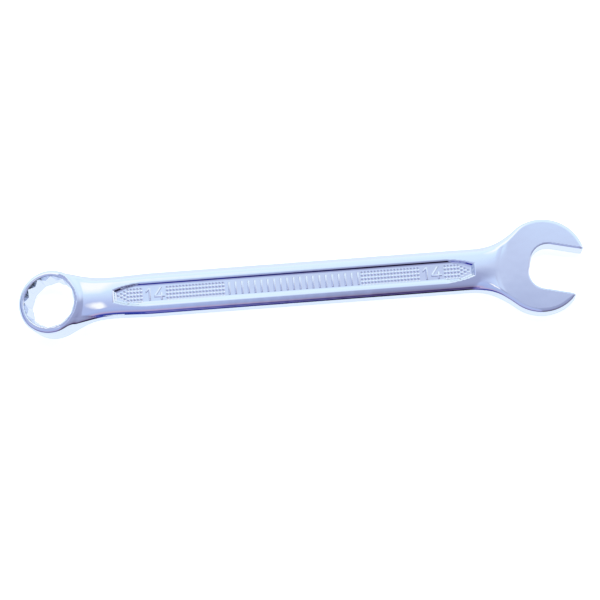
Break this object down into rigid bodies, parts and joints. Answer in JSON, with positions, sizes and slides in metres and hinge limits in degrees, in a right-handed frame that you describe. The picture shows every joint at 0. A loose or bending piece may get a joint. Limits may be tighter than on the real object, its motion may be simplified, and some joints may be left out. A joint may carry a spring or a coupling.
{
  "type": "combination wrench",
  "caption": "Straight hand wrench with an open-ended jaw at one end and an offset twelve-point ring at the other, for turning 14 mm nuts and bolts.",
  "frame": {"origin": "centre of the box end's twelve-point socket, half way through its height", "axes": "+X along the shank towards the open end, +Z normal to the open end's flat faces on the side the ring is bent away from, +Y across the shank"},
  "size_m": [0.176, 0.0301, 0.0131],
  "materials": {
    "plated_steel": "bright nickel-chrome plate on polished forged steel"
  },
  "bodies": {
    "root": {"box_end": "plated_steel", "shank": "plated_steel", "open_end": "plated_steel"}
  },
  "joints": []
}
